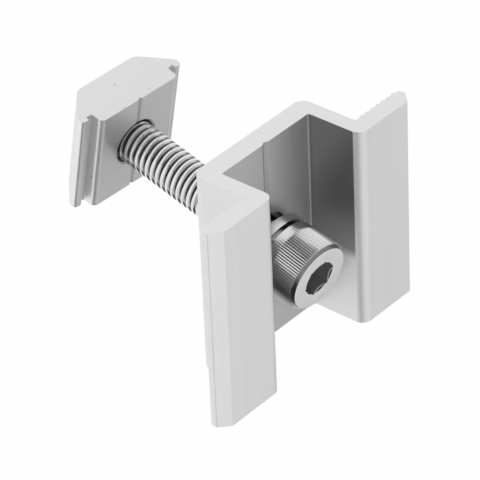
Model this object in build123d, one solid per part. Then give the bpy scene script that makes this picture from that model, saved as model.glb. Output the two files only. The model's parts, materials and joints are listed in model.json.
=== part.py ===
"""Mid clamp for a solar panel rail, in its loose, hand-assembled state.

Four pieces, all in millimetres and in one frame:
  clamp_channel   hat-shaped aluminium extrusion that bears on two module frames
  spring_washer   split helical lock washer under the screw's head
  cap_screw       M8 socket head cap screw with a knurled head
  rail_nut        lipped aluminium nut that catches under the lips of a rail

The origin is the centre of the screw's hole, on the floor of the channel. The hole
is drilled a little past the middle of the channel's length.
+Y runs along the extrusion and +Z points out of the channel's mouth, where the
screw's head is. The screw hangs loose in its clearance hole and leans until it
meets both edges of it, so the washer, the screw and the nut share a leaning axis.
"""
from build123d import *
from math import cos, pi, radians, sin, sqrt, tan
import os

# ---------------------------------------------------------------- clamp channel
channel_length = 39.0
channel_inner_width = 22.7
channel_depth = 11.1
web_thickness = 3.95
wall_thickness = 3.0
flange_thickness = 3.7
flange_reach = 11.7
flange_chamfer = 1.9
flange_edge_radius = 0.6
mouth_radius = 1.8
outer_corner_radius = 2.0
inner_corner_radius = 0.4
underside_corner_radius = 0.4
centre_groove_width = 1.6
centre_groove_depth = 0.45
tooth_pitch = 1.45
tooth_depth = 0.35
tooth_margin = 0.75
hole_diameter = 9.5
hole_offset = 0.4

# ------------------------------------------------- how the loose screw leans (deg)
lean_along = 12.5
lean_across = 3.8

# -------------------------------------------------------------------- cap screw
shank_diameter = 8.0
screw_length = 45.0
thread_length = 28.0
thread_pitch = 1.25
thread_diameter = 7.9
thread_depth = 0.48
thread_angle = 60.0
thread_sink = 0.2
shank_shoulder = 0.5
screw_tip_chamfer = 1.1
head_diameter = 13.0
head_height = 8.0
head_top_chamfer = 0.5
head_plain_band = 1.9
knurl_count = 90
knurl_depth = 0.17
socket_across_flats = 6.0
socket_depth = 4.2
socket_turn = 16.0
socket_cone_angle = 120.0
socket_lead_in = 0.25
head_seat_height = 3.75

# ---------------------------------------------------------------- spring washer
washer_inner_diameter = 8.6
washer_outer_diameter = 12.7
washer_thickness = 1.75
washer_rise = 0.9
washer_split_angle = 12.0
washer_split_heading = 170.0
washer_clearance = 0.03

# --------------------------------------------------------------------- rail nut
nut_length = 20.0
nut_width = 23.7
nut_thickness = 8.5
nut_block_width = 18.3
nut_shoulder_radius = 1.0
nut_groove_width = 1.25
nut_groove_depth = 2.6
nut_groove_radius = 0.4
nut_lip_drop = 1.85
nut_lip_width = 1.35
nut_lip_radius = 0.62
nut_side_height = 1.4
nut_side_radius = 1.0
nut_back_width = 13.8
nut_back_radius = 2.2
nut_mark_width = 0.9
nut_mark_depth = 0.35
nut_bore_clearance = 0.06
nut_countersink_diameter = 9.3
nut_turn = 1.75
nut_front_height = -31.85


def screw_frame():
    """Plane at the hole's centre whose normal is the leaning axis of the screw."""
    run_along = -tan(radians(lean_along))
    run_across = -tan(radians(lean_across))
    axis = Vector(run_across, run_along, 1).normalized()
    across = Vector(0, 1, 0).cross(axis).normalized()
    # the axis crosses the hole half way down the web
    half_web = web_thickness / 2
    origin = Vector(run_across * half_web, run_along * half_web, 0)
    return Plane(origin=origin, x_dir=across, z_dir=axis)


def channel_section():
    """Hat section in the XZ plane, drawn without its rounded corners."""
    inner = channel_inner_width / 2
    outer = inner + wall_thickness
    tip = outer + flange_reach
    underside = channel_depth - flange_thickness
    # as many teeth as the flange has room for, centred on it
    tooth_count = int((flange_reach - 2 * tooth_margin) / tooth_pitch)
    first_tooth = outer + (flange_reach - tooth_count * tooth_pitch) / 2
    half = [
        (centre_groove_width / 2, 0),
        (inner, 0),
        (inner, channel_depth),
        (tip - flange_chamfer, channel_depth),
        (tip, channel_depth - flange_chamfer),
        (tip, underside + tooth_depth),
    ]
    for number in reversed(range(tooth_count)):
        start = first_tooth + number * tooth_pitch
        half.append((start + tooth_pitch, underside + tooth_depth))
        half.append((start + tooth_pitch / 2, underside))
    half.append((first_tooth, underside + tooth_depth))
    half.append((outer, underside + tooth_depth))
    half.append((outer, -web_thickness))
    left = [(-x, z) for x, z in half]
    outline = half + list(reversed(left)) + [(0, -centre_groove_depth)]
    return outline


def corner_edges(body, x, z):
    """Edges of an extrusion along Y that stand at x or -x, and at z."""
    found = []
    for edge in body.edges().filter_by(Axis.Y):
        centre = edge.center()
        if abs(abs(centre.X) - x) < 0.01 and abs(centre.Z - z) < 0.01:
            found.append(edge)
    return found


def build_channel():
    inner = channel_inner_width / 2
    outer = inner + wall_thickness
    tip = outer + flange_reach
    root = channel_depth - flange_thickness + tooth_depth
    face = make_face(Polyline(*channel_section(), close=True))
    # the section is drawn in XY, so it is stood up into XZ and run along Y
    face = Plane.XZ * face
    body = Pos(0, -hole_offset, 0) * extrude(face, channel_length / 2, both=True)
    body = fillet(corner_edges(body, inner, 0), inner_corner_radius)
    body = fillet(corner_edges(body, inner, channel_depth), mouth_radius)
    body = fillet(corner_edges(body, outer, -web_thickness), outer_corner_radius)
    body = fillet(corner_edges(body, outer, root), underside_corner_radius)
    body = fillet(corner_edges(body, tip, root), flange_edge_radius)
    hole = Cylinder(hole_diameter / 2, 4 * web_thickness)
    return body - hole


def build_thread():
    """Right-hand thread along +Z with its cut end at z = 0, a V ridge on a core."""
    root_radius = thread_diameter / 2 - thread_depth
    foot_half = (thread_depth + thread_sink) * tan(radians(thread_angle / 2))
    # the ridge starts a turn below the cut end and ends a turn up, inside the shank
    run = thread_length + 2 * thread_pitch
    # one helix to a turn keeps the faces of the flanks short
    turn = Helix(thread_pitch, thread_pitch, root_radius)
    path = Wire([Pos(0, 0, number * thread_pitch) * turn for number in range(int(run / thread_pitch))])
    start = Plane(turn @ 0, x_dir=(1, 0, 0), z_dir=turn % 0)
    section = Polygon(
        (-thread_sink, -foot_half), (thread_depth, 0), (-thread_sink, foot_half), align=None
    )
    ridge = Pos(0, 0, -thread_pitch) * sweep(start * section, path=path, is_frenet=True)
    upright = (Align.CENTER, Align.CENTER, Align.MIN)
    core = Pos(0, 0, -2 * thread_pitch) * Cylinder(
        root_radius, run + 2 * thread_pitch, align=upright
    )
    # the bar that the thread is rolled on, with its chamfered end, sets its limits
    bar = Cylinder(shank_diameter / 2, run, align=upright)
    bar = chamfer(bar.edges().group_by(Axis.Z)[0], screw_tip_chamfer)
    return (core + ridge) & bar


def build_screw():
    """Screw along +Z, with the underside of its head at z = head_seat_height."""
    base = head_seat_height
    top = base + head_height
    radius = head_diameter / 2
    thread = Pos(0, 0, base - screw_length) * build_thread()
    shank = Cylinder(
        shank_diameter / 2,
        screw_length - thread_length,
        align=(Align.CENTER, Align.CENTER, Align.MAX),
    )
    shank = Pos(0, 0, base) * chamfer(shank.edges().group_by(Axis.Z)[0], shank_shoulder)

    # the knurl is a ring of straight V grooves, cut as one toothed outline
    rim = []
    for number in range(knurl_count):
        crest = 2 * pi * number / knurl_count
        valley = crest + pi / knurl_count
        rim.append((radius * cos(crest), radius * sin(crest)))
        low = radius - knurl_depth
        rim.append((low * cos(valley), low * sin(valley)))
    knurled = extrude(make_face(Polyline(*rim, close=True)), head_height - head_plain_band)
    knurled = Pos(0, 0, base + head_plain_band) * knurled
    band_radius = radius - knurl_depth
    band = Cylinder(
        band_radius, head_plain_band, align=(Align.CENTER, Align.CENTER, Align.MIN)
    )
    band = Pos(0, 0, base) * band
    head = knurled + band

    # a turned cone trims the crests back at the top of the head
    trim = Cylinder(radius + 1, head_height, align=(Align.CENTER, Align.CENTER, Align.MAX))
    trim = Pos(0, 0, top) * trim
    trim = chamfer(trim.edges().group_by(Axis.Z)[-1], head_top_chamfer + 1)
    head = head & trim

    hexagon = RegularPolygon(
        socket_across_flats / 2, 6, major_radius=False, rotation=socket_turn
    )
    socket = Pos(0, 0, top - socket_depth) * extrude(hexagon, socket_depth)
    cone_radius = socket_across_flats / 2
    cone_height = cone_radius / tan(radians(socket_cone_angle / 2))
    cone = Cone(0, cone_radius, cone_height, align=(Align.CENTER, Align.CENTER, Align.MAX))
    cone = Pos(0, 0, top - socket_depth) * cone
    corner_radius = socket_across_flats / sqrt(3)
    lead_in = Cone(
        cone_radius,
        corner_radius + socket_lead_in,
        corner_radius + socket_lead_in - cone_radius,
        align=(Align.CENTER, Align.CENTER, Align.MAX),
    )
    lead_in = Pos(0, 0, top) * lead_in
    return head + shank + thread - socket - cone - lead_in


def build_washer():
    """Split ring on a left-hand helix, with its high end against the head."""
    middle = (washer_inner_diameter + washer_outer_diameter) / 4
    width = (washer_outer_diameter - washer_inner_diameter) / 2
    sweep_share = (360 - washer_split_angle) / 360
    path = Helix(washer_rise, washer_rise * sweep_share, middle, lefthand=True)
    section = Rectangle(width, washer_thickness)
    start = Plane(path @ 0, x_dir=(1, 0, 0), z_dir=path % 0)
    ring = sweep(start * section, path=path, is_frenet=True)
    low = head_seat_height - washer_clearance - washer_rise * sweep_share - washer_thickness / 2
    return Pos(0, 0, low) * Rot(0, 0, washer_split_heading) * ring


def nut_section():
    """Half of the nut's section, front face at 0 and back at -nut_thickness."""
    block = nut_block_width / 2
    groove = block + nut_groove_width
    edge = nut_width / 2
    lip_foot = edge - nut_lip_width
    side_end = nut_lip_drop + nut_side_height
    return [
        (nut_mark_width / 2, 0),
        (block, 0),
        (block, -nut_groove_depth),
        (groove, -nut_groove_depth),
        (max(lip_foot, groove), -nut_lip_drop),
        (edge, -nut_lip_drop),
        (edge, -side_end),
        (nut_back_width / 2, -nut_thickness),
    ]


def build_nut():
    """Nut along +Y with its front face at z = 0 and its thread along Z."""
    half = nut_section()
    left = [(-x, z) for x, z in reversed(half)]
    outline = half + left + [(0, -nut_mark_depth)]
    face = Plane.XZ * make_face(Polyline(*outline, close=True))
    body = extrude(face, nut_length / 2, both=True)
    block = nut_block_width / 2
    edge = nut_width / 2
    body = fillet(corner_edges(body, block, 0), nut_shoulder_radius)
    body = fillet(corner_edges(body, block, -nut_groove_depth), nut_groove_radius)
    body = fillet(corner_edges(body, edge, -nut_lip_drop), nut_lip_radius)
    body = fillet(corner_edges(body, edge, -nut_lip_drop - nut_side_height), nut_side_radius)
    body = fillet(corner_edges(body, nut_back_width / 2, -nut_thickness), nut_back_radius)
    bore_radius = shank_diameter / 2 + nut_bore_clearance
    bore = Cylinder(bore_radius, 3 * nut_thickness)
    sink_radius = nut_countersink_diameter / 2
    sink = Cone(
        bore_radius, sink_radius, sink_radius - bore_radius,
        align=(Align.CENTER, Align.CENTER, Align.MAX),
    )
    return body - bore - sink


axis_frame = screw_frame()
pieces = {
    "clamp_channel": build_channel(),
    "spring_washer": axis_frame.location * build_washer(),
    "cap_screw": axis_frame.location * build_screw(),
    "rail_nut": axis_frame.location * Pos(0, 0, nut_front_height) * Rot(0, 0, nut_turn) * build_nut(),
}

os.makedirs("parts", exist_ok=True)
for name, piece in pieces.items():
    export_step(piece, f"parts/{name}.step")
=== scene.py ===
"""Looks of a loose solar mid clamp: extruded channel, knurled cap screw, spring
washer and lipped rail nut. Lengths are in metres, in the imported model's frame."""
import json
from math import cos, pi, radians, sin, sqrt

import bmesh
import bpy
from mathutils import Matrix, Vector


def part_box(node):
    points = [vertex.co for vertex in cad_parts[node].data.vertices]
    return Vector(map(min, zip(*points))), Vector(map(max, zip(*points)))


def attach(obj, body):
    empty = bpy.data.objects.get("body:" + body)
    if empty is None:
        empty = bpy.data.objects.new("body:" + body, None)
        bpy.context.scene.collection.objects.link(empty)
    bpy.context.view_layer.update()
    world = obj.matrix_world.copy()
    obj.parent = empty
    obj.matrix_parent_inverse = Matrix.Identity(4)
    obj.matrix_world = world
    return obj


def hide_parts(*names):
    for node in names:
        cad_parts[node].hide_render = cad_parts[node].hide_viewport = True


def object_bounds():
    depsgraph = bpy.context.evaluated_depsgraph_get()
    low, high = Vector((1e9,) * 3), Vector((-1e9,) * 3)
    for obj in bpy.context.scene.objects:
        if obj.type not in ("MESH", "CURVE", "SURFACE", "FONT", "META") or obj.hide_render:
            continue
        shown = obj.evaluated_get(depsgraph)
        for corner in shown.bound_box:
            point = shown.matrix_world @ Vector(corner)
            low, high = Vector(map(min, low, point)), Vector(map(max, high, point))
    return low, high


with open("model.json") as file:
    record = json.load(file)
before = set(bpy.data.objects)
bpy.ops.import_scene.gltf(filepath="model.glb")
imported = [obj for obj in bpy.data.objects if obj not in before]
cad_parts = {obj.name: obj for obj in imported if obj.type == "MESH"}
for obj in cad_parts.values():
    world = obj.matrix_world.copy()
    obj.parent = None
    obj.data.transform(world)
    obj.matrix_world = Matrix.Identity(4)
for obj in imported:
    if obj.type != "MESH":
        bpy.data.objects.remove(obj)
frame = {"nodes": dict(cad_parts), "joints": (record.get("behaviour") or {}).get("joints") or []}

cad_low, cad_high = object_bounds()
MM = 0.001

# the screw's leaning axis, from the joint that it turns on
TURN = next(joint for joint in frame["joints"] if joint["name"] == "screw_turn")
AXIS = Vector(TURN["axis"]).normalized()
AXIS_FOOT = Vector(TURN["pos_m"])

# screw, in mm along its axis from the axis's foot on the channel's floor
PITCH = 1.25
THREAD_RADIUS = 3.95
ROOT_RADIUS = 3.3
THREAD_LENGTH = 28.0
SEAT = 3.75
HEAD_RADIUS = 6.5
HEAD_HEIGHT = 8.0
SCREW_LENGTH = 45.0
TIP_CHAMFER = 1.05
KNURL_COUNT = 90
KNURL_DEPTH = 0.17
PLAIN_BAND = 1.9
SOCKET_FLATS = 6.0
SOCKET_DEPTH = 4.2
SOCKET_TURN = radians(16)
LEAD_RADIUS = 3.22
LEAD_SLOPE = 1.0
LEAD_DEPTH = 0.6
DRILL_TIP = 1.7
RIM_DEPTH = 0.62
RIM_INSET = 0.6
KNURL_END = 0.75
BAND_SLOPE_LOW = 0.25
BAND_SLOPE_HIGH = 0.35
SAMPLES_PER_GROOVE = 4

# thread's grid
THREAD_TURNS = 38
ROWS_PER_PITCH = 10
COLUMNS_PER_TURN = 72
MERGE_DISTANCE = 0.002

# where the channel's finishes, painted shade and painted light meet, in mm in its own section
CHANNEL_INSIDE = 11.36
WALL_BAND = 0.25
SIDE_LIMIT = 14.41
FLANGE_UNDERSIDE = 7.2
FLANGE_TIP = 25.95
BEVEL_REACH = 35.2
HOLE_REACH = 4.8
GROOVE_HALF = 0.8
GROOVE_DEPTH = 0.5
# along Y, where the painted light at the walls' -Y end fades out
PAINTED_LIGHT_END, PAINTED_LIGHT_START = -7.0, -5.0
# how near to a face still counts as on it, and how far out the nut's bore is painted with shade
SKIN_DEPTH = 0.02
NUT_BORE = 4.35

# tones, as the grey that each metal reflects
OUTER_TONE = 0.86
# the inner faces are greyer than the outer, as painted shade
SHADED_INNER_TONE = 0.66
# pale grey of the walls' painted light, also half-mixed into the upright faces outside
PALE_TONE = 0.92
NUT_TONE = 0.91
WASHER_TONE = 0.86
SCREW_TONE = 0.80
# the head's machined face, whose greys also paint the lead-in's highlight
CUT_FACE_AND_HIGHLIGHT_TONES = (0.78, 0.90)
# greys of painted shade: socket and rim bevel, lead-in cone, thread and knurl roots, and the
# channel, whose hole takes the most
SOCKET_SHADE_TONE = 0.17
LEAD_SHADE_TONE = 0.05
CREVICE_SHADE_TONE = 0.06
SHADE_TONE = 0.03
HOLE_SHADE = 0.95
STEEL_ROUGHNESS = 0.2

# strength of the sky all round, overhead and to the east
SKY_LEAST = 0.06
SKY_OVERHEAD = 0.70
SKY_EAST = 0.24

# stage, in metres
FLOOR_HALF = 1.5
FLOOR_DROP = 0.06
FLOOR_GLOW_SHARE = 0.985
CAMERA_AIM = Vector((-3.13, -0.19, -3.80)) * MM
CAMERA_HEADING, CAMERA_HEIGHT, CAMERA_ROLL = radians(137.61), radians(32.78), radians(113.73)
CAMERA_DISTANCE = 0.617
CAMERA_LENS = 274.4


# ------------------------------------------------------------------ node maths
class Wire:
    """A socket in a node tree, with arithmetic that adds Math nodes."""

    def __init__(self, net, socket):
        self.net = net
        self.socket = socket

    def _math(self, operation, first, second):
        return self.net.add("ShaderNodeMath", {"operation": operation}, {0: first, 1: second})

    def __add__(self, other):
        return self._math("ADD", self, other)

    def __radd__(self, other):
        return self._math("ADD", other, self)

    def __sub__(self, other):
        return self._math("SUBTRACT", self, other)

    def __rsub__(self, other):
        return self._math("SUBTRACT", other, self)

    def __mul__(self, other):
        return self._math("MULTIPLY", self, other)

    def __rmul__(self, other):
        return self._math("MULTIPLY", other, self)

    def __truediv__(self, other):
        return self._math("DIVIDE", self, other)

    def __gt__(self, other):
        return self._math("GREATER_THAN", self, other)

    def __lt__(self, other):
        return self._math("LESS_THAN", self, other)

    def sine(self):
        return self._math("SINE", self, 0.0)

    def cosine(self):
        return self._math("COSINE", self, 0.0)

    def size(self):
        return self._math("ABSOLUTE", self, 0.0)

    def least(self, other):
        return self._math("MINIMUM", self, other)

    def most(self, other):
        return self._math("MAXIMUM", self, other)

    def power(self, other):
        return self._math("POWER", self, other)

    def within(self, low, high):
        """1 between two limits and 0 elsewhere."""
        return (self > low) * (self < high)

    def between(self, low, high):
        """0 below low, 1 above high, and straight between."""
        inputs = {"Value": self, "From Min": low, "From Max": high}
        return self.net.add("ShaderNodeMapRange", {"clamp": True}, inputs)


class Net:
    """A node tree with one way to add a node: its type, settings and inputs."""

    def __init__(self, tree):
        self.tree = tree

    def plug(self, socket, value):
        if isinstance(value, Wire):
            self.tree.links.new(value.socket, socket)
        else:
            socket.default_value = value

    def node(self, kind, settings=None, inputs=None):
        made = self.tree.nodes.new(kind)
        for name, value in (settings or {}).items():
            setattr(made, name, value)
        for name, value in (inputs or {}).items():
            self.plug(made.inputs[name], value)
        return made

    def add(self, kind, settings=None, inputs=None, output=0):
        return Wire(self, self.node(kind, settings, inputs).outputs[output])

    def blend(self, share, first, second):
        """A colour between two, by share."""
        inputs = {0: share, 6: first, 7: second}
        return self.add("ShaderNodeMix", {"data_type": "RGBA"}, inputs, output=2)

    def noise(self, vector, scale, detail=3.0, roughness=0.5):
        inputs = {"Vector": vector, "Scale": scale, "Detail": detail, "Roughness": roughness}
        return self.add("ShaderNodeTexNoise", None, inputs)

    def stretched(self, vector, scale):
        """Coordinates times a size of its own along each axis."""
        return self.add("ShaderNodeVectorMath", {"operation": "MULTIPLY"}, {0: vector, 1: scale})

    def about_screw(self, vector):
        """How far along the screw's axis a place is, and how far from it."""
        kind = "ShaderNodeVectorMath"
        from_foot = self.add(kind, {"operation": "SUBTRACT"}, {0: vector, 1: AXIS_FOOT})
        along = self.add(kind, {"operation": "DOT_PRODUCT"}, {0: from_foot, 1: AXIS}, output=1)
        reach = self.add(kind, {"operation": "LENGTH"}, {0: from_foot}, output=1)
        return along, (reach * reach - along * along).power(0.5)

    def parts(self, vector):
        """A vector's three numbers."""
        made = self.node("ShaderNodeSeparateXYZ", None, {0: vector})
        return [Wire(self, output) for output in made.outputs]


def new_material(name):
    """An empty material: its net, its object coordinates and its Principled shader."""
    material = bpy.data.materials.new(name)
    material.use_nodes = True
    material.node_tree.nodes.clear()
    net = Net(material.node_tree)
    place = net.add("ShaderNodeTexCoord", output=3)
    surface = net.node("ShaderNodeBsdfPrincipled")
    output = net.node("ShaderNodeOutputMaterial")
    net.tree.links.new(surface.outputs[0], output.inputs[0])
    return material, net, place, surface


def grey(level):
    """An opaque grey."""
    return (level, level, level, 1.0)


# ------------------------------------------------------------------- materials
def extruded_aluminium(name, middle, half_length):
    """Mill-finish extrusion: fine die lines along Y, sawn ends across it, a duller
    skin outside than on the faces that point at each other, and matt bevels. Painted
    shade greys the inside and darkens the walls' inner faces, the web's hole and its
    groove; painted light makes the walls' -Y end pale."""
    material, net, place, surface = new_material(name)
    across, along, up = net.parts(place)
    offset = across.size()
    die_lines = net.noise(net.stretched(place, (1500.0, 9.0, 1500.0)), 1.0, 2.0)
    clouding = net.noise(net.stretched(place, (90.0, 30.0, 90.0)), 1.0, 3.0)
    grain = net.noise(place, 3200.0, 2.0)
    # where each finish is, as 0 or 1
    end = (along - middle).size() > half_length - SKIN_DEPTH * MM
    outside = (offset > CHANNEL_INSIDE * MM) * (1.0 - end)
    bevel = (offset + up > BEVEL_REACH * MM) * (1.0 - end)
    skin = outside.most(end).most(bevel)
    wall = (offset > (CHANNEL_INSIDE - WALL_BAND) * MM) * (1.0 - skin)
    web = (1.0 - skin) * (1.0 - wall)
    # towards the -Y end the walls' inner faces get painted light: pale grey in place of their
    # painted shade, and less metal
    painted_light = wall * (1.0 - along.between(PAINTED_LIGHT_END * MM, PAINTED_LIGHT_START * MM))
    # upright faces outside are paler and more metallic than the flanges' fronts
    side = (offset < SIDE_LIMIT * MM) * (up < FLANGE_UNDERSIDE * MM)
    upright = outside * side.most(offset > FLANGE_TIP * MM)
    below_web = up < -SKIN_DEPTH * MM
    in_hole = (across * across + along * along < (HOLE_REACH * MM) ** 2) * below_web
    groove = (offset < GROOVE_HALF * MM) * below_web * (up > -GROOVE_DEPTH * MM) * (1.0 - skin)
    lines = (die_lines - 0.5) * (1.0 - end)
    shade = lines * 0.35 + (clouding - 0.5) * 0.3 + (grain - 0.5) * 0.15 + 0.5
    # the inside's darker grey is painted shade
    shaded_inside_colour = net.blend(shade, grey(SHADED_INNER_TONE - 0.10), grey(SHADED_INNER_TONE + 0.10))
    outside_colour = net.blend(shade, grey(OUTER_TONE - 0.10), grey(OUTER_TONE + 0.10))
    colour = net.blend(skin, shaded_inside_colour, outside_colour)
    colour = net.blend(painted_light.most(upright * 0.5), colour, grey(PALE_TONE))
    shadow = ((wall - painted_light) * 0.33).most(in_hole * HOLE_SHADE).most(groove * 0.25)
    net.plug(surface.inputs["Base Color"], net.blend(shadow, colour, grey(SHADE_TONE)))
    metal = 1.0 - outside * 0.45 + upright * 0.4 - bevel * 0.3 - end * 0.2 - painted_light * 0.6
    net.plug(surface.inputs["Metallic"], metal)
    rough = 0.26 + outside * 0.24 + bevel * 0.25 + end * 0.1 + wall * 0.2 + web * 0.22
    rough = rough + (clouding - 0.5) * 0.12 + lines * 0.1
    net.plug(surface.inputs["Roughness"], rough)
    height = lines * 0.6 + grain * 0.35
    relief = {"Strength": 0.25, "Distance": 0.00004, "Height": height}
    net.plug(surface.inputs["Normal"], net.add("ShaderNodeBump", None, relief))
    return material


def cut_aluminium(name, tone):
    """Evenly matt aluminium with a few dark specks and painted shade in the bore, for the nut."""
    material, net, place, surface = new_material(name)
    clouding = net.noise(place, 160.0, 3.0)
    grain = net.noise(place, 3200.0, 2.0)
    specks = net.noise(place, 900.0, 1.0).between(0.77, 0.79)
    # the bore is painted dark as shade
    bore = net.about_screw(place)[1] < NUT_BORE * MM
    shade = (clouding - 0.5) * 0.5 + (grain - 0.5) * 0.2 + 0.5
    colour = net.blend(shade, grey(tone - 0.08), grey(tone + 0.08))
    dark = (specks * 0.5).most(bore * 0.93)
    net.plug(surface.inputs["Base Color"], net.blend(dark, colour, grey(0.05)))
    surface.inputs["Metallic"].default_value = 0.85
    net.plug(surface.inputs["Roughness"], 0.42 + (clouding - 0.5) * 0.12)
    relief = {"Strength": 0.2, "Distance": 0.00003, "Height": grain}
    net.plug(surface.inputs["Normal"], net.add("ShaderNodeBump", None, relief))
    return material


def bright_steel(name, tone, gloss):
    """Stainless steel with faint clouding."""
    material, net, place, surface = new_material(name)
    clouding = net.noise(place, 420.0, 3.0)
    colour = net.blend(clouding, grey(tone - 0.08), grey(tone + 0.06))
    net.plug(surface.inputs["Base Color"], colour)
    surface.inputs["Metallic"].default_value = 1.0
    net.plug(surface.inputs["Roughness"], gloss + (clouding - 0.5) * 0.1)
    return material


def screw_steel(name, tone, gloss):
    """Bright steel with a matt machined face on the head; painted shade in the socket,
    on its lead-in and rim bevel and in the roots, and a painted highlight at the lead-in's edge.
    """
    material, net, place, surface = new_material(name)
    along, radius = net.about_screw(place)
    top = (SEAT + HEAD_HEIGHT) * MM
    face = along > top - 0.01 * MM
    below_face = along < top - 0.015 * MM
    in_head = along > (SEAT + 0.01) * MM
    rim_radius = (SOCKET_FLATS / sqrt(3) + 0.05) * MM
    socket = below_face * in_head * (radius < rim_radius)
    bevel = below_face * (along > top - RIM_DEPTH * MM) * (radius > rim_radius)
    # the socket's lead-in cone is painted dark as shade, and a band at its lower edge is a
    # painted highlight
    cone = (LEAD_RADIUS * MM) - (top - along) * LEAD_SLOPE
    past_cone = (radius - cone) / MM
    mouth = socket * (along > top - LEAD_DEPTH * MM)
    lead_in_shade = mouth * (past_cone < 0.03)
    lead_highlight = mouth * past_cone.within(0.03, 0.25)
    # painted shade darkens the roots of the thread and of the knurl
    root = 1.0 - radius.between((ROOT_RADIUS + 0.1) * MM, (THREAD_RADIUS - 0.15) * MM)
    valley_radius = HEAD_RADIUS - KNURL_DEPTH
    valley = 1.0 - radius.between((valley_radius + 0.01) * MM, (HEAD_RADIUS - 0.03) * MM)
    knurled = in_head * along.within((SEAT + PLAIN_BAND) * MM, top - 0.7 * MM)
    crevice_shade = (root * (1.0 - in_head)).most(valley * knurled * 0.4)
    clouding = net.noise(place, 420.0, 3.0)
    bright = net.blend(clouding, grey(tone - 0.08), grey(tone + 0.06))
    shaded_steel = net.blend(crevice_shade * 0.85, bright, grey(CREVICE_SHADE_TONE))
    # painted shade in the socket and on the rim's bevel
    shaded_steel = net.blend((bevel * 0.85).most(socket), shaded_steel, grey(SOCKET_SHADE_TONE))
    shaded_steel = net.blend(lead_in_shade, shaded_steel, grey(LEAD_SHADE_TONE))
    # the machined face's greys also paint the lead-in's highlight
    face_and_highlight_grey = net.blend(clouding, grey(CUT_FACE_AND_HIGHLIGHT_TONES[0]), grey(CUT_FACE_AND_HIGHLIGHT_TONES[1]))
    face_and_highlight = face.most(lead_highlight)
    net.plug(surface.inputs["Base Color"], net.blend(face_and_highlight, shaded_steel, face_and_highlight_grey))
    net.plug(surface.inputs["Metallic"], 1.0 - face_and_highlight.most(socket) * 0.6)
    rough = gloss - (1.0 - in_head) * 0.07 + face * 0.3 + (clouding - 0.5) * 0.1
    net.plug(surface.inputs["Roughness"], rough)
    return material


# ------------------------------------------------------------------ the screw
def link_piece(name, mesh, material, body, replaced=()):
    """Makes an object of a finished mesh and rides it on its body."""
    piece = bpy.data.objects.new(name, mesh)
    bpy.context.scene.collection.objects.link(piece)
    mesh.materials.clear()
    mesh.materials.append(material)
    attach(piece, body)
    if replaced:
        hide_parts(*replaced)
    return piece


def screw_place():
    """Turns a mesh drawn in mm about +Z into place on the leaning axis."""
    across = Vector((0, 1, 0)).cross(AXIS).normalized()
    up = AXIS.cross(across)
    turn = Matrix((across, up, AXIS)).transposed().to_4x4()
    return Matrix.Translation(AXIS_FOOT) @ turn @ Matrix.Scale(MM, 4)


def lathe(rings, count, place_at):
    """A mesh of closed rings about Z; the first and last rings end in a fan."""
    points = []
    for ring in rings:
        for step in range(count):
            angle = 2 * pi * step / count
            radius, height = place_at(ring, angle, step)
            points.append((radius * cos(angle), radius * sin(angle), height))
    faces = []
    for row in range(len(rings) - 1):
        for step in range(count):
            here = row * count + step
            ahead = row * count + (step + 1) % count
            faces.append((here, ahead, ahead + count, here + count))
    low = len(points)
    points.append((0, 0, rings[0].get("tip", rings[0]["z"])))
    high = len(points)
    points.append((0, 0, rings[-1].get("tip", rings[-1]["z"])))
    last = (len(rings) - 1) * count
    for step in range(count):
        ahead = (step + 1) % count
        faces.append((low, ahead, step))
        faces.append((high, last + step, last + ahead))
    mesh = bpy.data.meshes.new("lathe")
    mesh.from_pydata(points, [], faces)
    mesh.update()
    return mesh


def hexagon_radius(angle, flats):
    """Distance from the middle to a hexagon's edge in one direction."""
    sector = (angle - SOCKET_TURN) % (pi / 3) - pi / 6
    return flats / 2 / cos(sector)


def screw_head():
    """Knurled cylinder with a rounded rim and a hexagonal socket."""
    top = SEAT + HEAD_HEIGHT
    floor = top - SOCKET_DEPTH

    def ring(z, radius, knurl=0.0, **more):
        """One turn of the profile, in mm along the axis."""
        return {"z": z, "radius": radius, "knurl": knurl, **more}

    low = HEAD_RADIUS - KNURL_DEPTH
    rings = [
        # underside and plain band
        ring(SEAT, THREAD_RADIUS - 0.5),
        ring(SEAT, low - 0.25),
        ring(SEAT + 0.04, low - 0.1),
        ring(SEAT + 0.14, low),
        ring(SEAT + PLAIN_BAND - BAND_SLOPE_LOW, low),
        # knurl
        ring(SEAT + PLAIN_BAND + BAND_SLOPE_HIGH, HEAD_RADIUS, KNURL_DEPTH),
        ring(top - KNURL_END, HEAD_RADIUS, KNURL_DEPTH),
        ring(top - KNURL_END + 0.09, HEAD_RADIUS - 0.04, KNURL_DEPTH / 2),
        # bevelled rim and face
        ring(top - RIM_DEPTH, HEAD_RADIUS - 0.1),
        ring(top - 0.1, HEAD_RADIUS - 0.42),
        ring(top - 0.02, HEAD_RADIUS - 0.5),
        ring(top, HEAD_RADIUS - RIM_INSET),
        ring(top, SOCKET_FLATS / sqrt(3) + 0.3),
        # socket with its lead-in and its drilled floor
        ring(top, LEAD_RADIUS, hexagon=True),
        ring(top, 0.0, hexagon=True, cone=True),
        ring(floor, 0.0, hexagon=True),
        ring(floor - 0.02, SOCKET_FLATS / 2 - 0.05),
        ring(floor - 0.5, 2.1, tip=floor - DRILL_TIP),
    ]

    def place_at(ring, angle, step):
        """Radius and height of one point on a ring."""
        if "hexagon" not in ring:
            in_groove = (0.0, 0.5, 1.0, 0.5)[step % SAMPLES_PER_GROOVE]
            return ring["radius"] - ring["knurl"] * in_groove, ring["z"]
        reach = hexagon_radius(angle, SOCKET_FLATS)
        # the lead-in cone ends on the flats in a curve of its own
        drop = max(0.0, LEAD_RADIUS - reach) / LEAD_SLOPE if "cone" in ring else 0.0
        return max(reach, ring["radius"]), ring["z"] - drop

    return lathe(rings, KNURL_COUNT * SAMPLES_PER_GROOVE, place_at)


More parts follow.
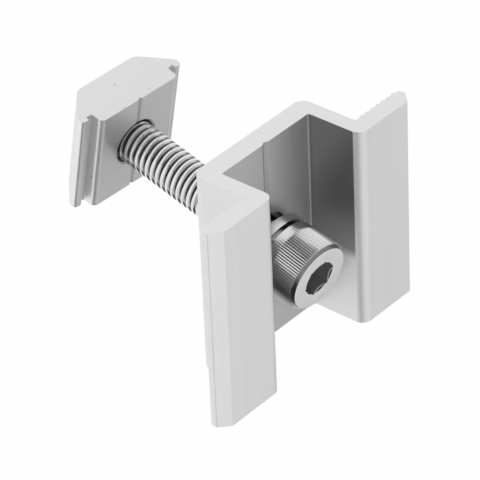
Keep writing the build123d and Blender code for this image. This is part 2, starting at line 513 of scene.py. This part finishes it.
def helix_tree():
    """Rolled thread as a rule: a grid wrapped on the helix, with its radius a
    function of how far each point is along one pitch."""
    tree = bpy.data.node_groups.new("rolled_thread", "GeometryNodeTree")
    names = {
        "Pitch": PITCH, "Crest Radius": THREAD_RADIUS, "Root Radius": ROOT_RADIUS,
        "Tip Height": SEAT - SCREW_LENGTH, "Top Height": SEAT + 0.5, "Chamfer": TIP_CHAMFER,
        "Runout Height": SEAT - SCREW_LENGTH + THREAD_LENGTH,
    }
    for name in names:
        tree.interface.new_socket(name, in_out="INPUT", socket_type="NodeSocketFloat")
    tree.interface.new_socket("Material", in_out="INPUT", socket_type="NodeSocketMaterial")
    tree.interface.new_socket("Thread", in_out="OUTPUT", socket_type="NodeSocketGeometry")
    net = Net(tree)
    source = net.node("NodeGroupInput")
    given = {name: Wire(net, source.outputs[name]) for name in [*names, "Material"]}
    pitch, crest, root = given["Pitch"], given["Crest Radius"], given["Root Radius"]
    tip, top = given["Tip Height"], given["Top Height"]
    size = {"Size X": 1.0, "Size Y": float(THREAD_TURNS)}
    count = {"Vertices X": COLUMNS_PER_TURN + 1, "Vertices Y": THREAD_TURNS * ROWS_PER_PITCH + 1}
    grid = net.add("GeometryNodeMeshGrid", None, {**size, **count})
    across, along, _ = net.parts(net.add("GeometryNodeInputPosition"))
    turn = across + 0.5
    level = along + THREAD_TURNS / 2
    fraction = net.add("ShaderNodeMath", {"operation": "FRACT"}, {0: level + 0.0001})
    height = (tip - pitch) + (level + turn - 1.0) * pitch
    # 0 at the root and 1 on the crest, with straight flanks between
    slope = ((fraction - 0.5).size() * 2.0).between(0.14, 0.62)
    # the thread runs out into the plain shank
    fade = ((height - given["Runout Height"]) / pitch).between(-1.2, 0.2)
    depth = (crest - root) * (1.0 - slope) * (1.0 - fade)
    tip_radius = crest - given["Chamfer"]
    radius = (crest - depth).least(tip_radius + (height - tip))
    radius = radius.most(tip_radius - 0.05)
    clear = height.most(tip).least(top)
    angle = turn * (2 * pi)
    spot = {0: angle.cosine() * radius, 1: angle.sine() * radius, 2: clear}
    point = net.add("ShaderNodeCombineXYZ", None, spot)
    sheets = [net.add("GeometryNodeSetPosition", None, {"Geometry": grid, "Position": point})]
    # a disc closes each end
    for plane, reach in ((tip, tip_radius - 0.05), (top, crest)):
        sides = {"Vertices": COLUMNS_PER_TURN, "Radius": 1.0}
        disc = net.add("GeometryNodeMeshCircle", {"fill_type": "TRIANGLE_FAN"}, sides)
        scale = net.add("ShaderNodeCombineXYZ", None, {0: reach, 1: reach, 2: 1.0})
        shift = net.add("ShaderNodeCombineXYZ", None, {2: plane})
        placing = {"Geometry": disc, "Translation": shift, "Scale": scale}
        sheets.append(net.add("GeometryNodeTransform", None, placing))
    joined = net.node("GeometryNodeJoinGeometry")
    for sheet in sheets:
        net.tree.links.new(sheet.socket, joined.inputs[0])
    welding = {"Geometry": Wire(net, joined.outputs[0]), "Distance": MERGE_DISTANCE}
    merged = net.add("GeometryNodeMergeByDistance", None, welding)
    real = net.add("GeometryNodeRealizeInstances", None, {"Geometry": merged})
    finish = {"Geometry": real, "Material": given["Material"]}
    done = net.add("GeometryNodeSetMaterial", None, finish)
    net.node("NodeGroupOutput", None, {"Thread": done})
    return tree, names


def grown(name, tree, values):
    """Runs a Geometry Nodes tree on an empty object and returns a plain mesh."""
    holder = bpy.data.objects.new(name, bpy.data.meshes.new(name))
    bpy.context.scene.collection.objects.link(holder)
    modifier = holder.modifiers.new(name, "NODES")
    modifier.node_group = tree
    for item in tree.interface.items_tree:
        if item.item_type == "SOCKET" and item.in_out == "INPUT":
            modifier[item.identifier] = values[item.name]
    graph = bpy.context.evaluated_depsgraph_get()
    mesh = bpy.data.meshes.new_from_object(holder.evaluated_get(graph))
    holder.modifiers.remove(modifier)
    bpy.data.objects.remove(holder)
    return mesh


def smooth(mesh, crease):
    """Smooth shading, kept sharp where faces meet at more than crease degrees."""
    mesh.shade_smooth()
    mesh.set_sharp_from_angle(angle=radians(crease))


def outward(mesh):
    """Points every face out of its shell."""
    work = bmesh.new()
    work.from_mesh(mesh)
    bmesh.ops.recalc_face_normals(work, faces=work.faces)
    work.to_mesh(mesh)
    work.free()


def build_screw(steel):
    """The thread and the head, each as a mesh that stands on the screw's body."""
    tree, values = helix_tree()
    thread = grown("screw_thread", tree, {**values, "Material": steel})
    head = screw_head()
    for mesh, crease in ((thread, 32), (head, 28)):
        outward(mesh)
        smooth(mesh, crease)
        mesh.transform(screw_place())
    link_piece("screw_thread", thread, steel, "screw")
    link_piece("screw_head", head, steel, "screw", ("cap_screw",))


# ------------------------------------------------------------- stage and light
def white_floor():
    """A wide pale floor that reads as white and keeps a soft shadow."""
    material, net, _, surface = new_material("pale_floor")
    surface.inputs["Base Color"].default_value = grey(0.9)
    surface.inputs["Roughness"].default_value = 1.0
    surface.inputs["Specular IOR Level"].default_value = 0.0
    rays = net.node("ShaderNodeLightPath")
    kinds = ("Is Camera Ray", "Is Glossy Ray", "Is Transmission Ray")
    camera, glossy, through = (Wire(net, rays.outputs[kind]) for kind in kinds)
    seen = camera.most(glossy).most(through)
    glow = net.add("ShaderNodeEmission", None, {"Color": grey(1.0), "Strength": 1.0})
    shares = {0: seen * FLOOR_GLOW_SHARE, 1: Wire(net, surface.outputs[0]), 2: glow}
    output = next(node for node in net.tree.nodes if node.type == "OUTPUT_MATERIAL")
    net.plug(output.inputs[0], net.add("ShaderNodeMixShader", None, shares))
    mesh = bpy.data.meshes.new("floor")
    level = cad_low.z - FLOOR_DROP
    signs = ((-1, -1), (1, -1), (1, 1), (-1, 1))
    corners = [(x * FLOOR_HALF, y * FLOOR_HALF, level) for x, y in signs]
    mesh.from_pydata(corners, [], [(0, 1, 2, 3)])
    floor = bpy.data.objects.new("floor", mesh)
    bpy.context.scene.collection.objects.link(floor)
    mesh.materials.append(material)


def soft_light(name, towards, distance, size, power):
    """A square area lamp that faces the object, unseen in the metal."""
    lamp = bpy.data.lights.new(name, "AREA")
    lamp.shape = "SQUARE"
    lamp.size = size
    lamp.energy = power
    holder = bpy.data.objects.new(name, lamp)
    direction = Vector(towards).normalized()
    holder.location = direction * distance
    holder.rotation_euler = direction.to_track_quat("Z", "Y").to_euler()
    holder.visible_glossy = False
    bpy.context.scene.collection.objects.link(holder)


def light_world():
    """A sky that is bright overhead, paler to the east and white to the camera."""
    world = bpy.data.worlds.new("studio")
    world.use_nodes = True
    world.node_tree.nodes.clear()
    net = Net(world.node_tree)
    rays = net.node("ShaderNodeLightPath")
    seen = Wire(net, rays.outputs["Is Camera Ray"])
    east, _, up = net.parts(net.add("ShaderNodeTexCoord"))
    overhead = (up + east * 0.1).between(0.46, 0.60)
    beside = (1.0 - overhead) * east.between(0.0, 0.6)
    ambient = SKY_LEAST + overhead * SKY_OVERHEAD + beside * SKY_EAST
    strength = ambient * (1.0 - seen) + seen
    background = net.add("ShaderNodeBackground", None, {"Color": grey(1.0), "Strength": strength})
    net.node("ShaderNodeOutputWorld", None, {0: background})
    bpy.context.scene.world = world


def place_camera():
    """Long-lens camera, rolled so that the extrusion stands upright in view."""
    heading, height = CAMERA_HEADING, CAMERA_HEIGHT
    back = Vector((cos(height) * cos(heading), cos(height) * sin(heading), sin(height)))
    lens = bpy.data.cameras.new("camera")
    lens.lens = CAMERA_LENS
    lens.sensor_width = 36.0
    lens.clip_start = 0.01
    lens.clip_end = 50.0
    camera = bpy.data.objects.new("camera", lens)
    turn = back.to_track_quat("Z", "Y").to_matrix() @ Matrix.Rotation(CAMERA_ROLL, 3, "Z")
    camera.matrix_world = Matrix.Translation(CAMERA_AIM + back * CAMERA_DISTANCE) @ turn.to_4x4()
    bpy.context.scene.collection.objects.link(camera)
    bpy.context.scene.camera = camera


# ------------------------------------------------------------------- assembly
def dress(node, material):
    """Gives a carried-over solid its material."""
    mesh = frame["nodes"][node].data
    mesh.materials.clear()
    mesh.materials.append(material)


channel_low, channel_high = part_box("clamp_channel")
channel_middle = (channel_high.y + channel_low.y) / 2
half_channel = (channel_high.y - channel_low.y) / 2
dress("clamp_channel", extruded_aluminium("channel_finish", channel_middle, half_channel))
dress("rail_nut", cut_aluminium("nut_finish", NUT_TONE))
dress("spring_washer", bright_steel("washer_finish", WASHER_TONE, STEEL_ROUGHNESS))
build_screw(screw_steel("screw_finish", SCREW_TONE, STEEL_ROUGHNESS))

white_floor()
light_world()
# direction, distance and size in metres, and power in watts
soft_light("fill", (-0.5, 0.15, 0.85), 0.2, 0.12, 0.06)
soft_light("side", (-0.80, 0.30, 0.50), 0.4, 0.1, 0.5)
place_camera()
bpy.context.scene.view_settings.view_transform = "Standard"
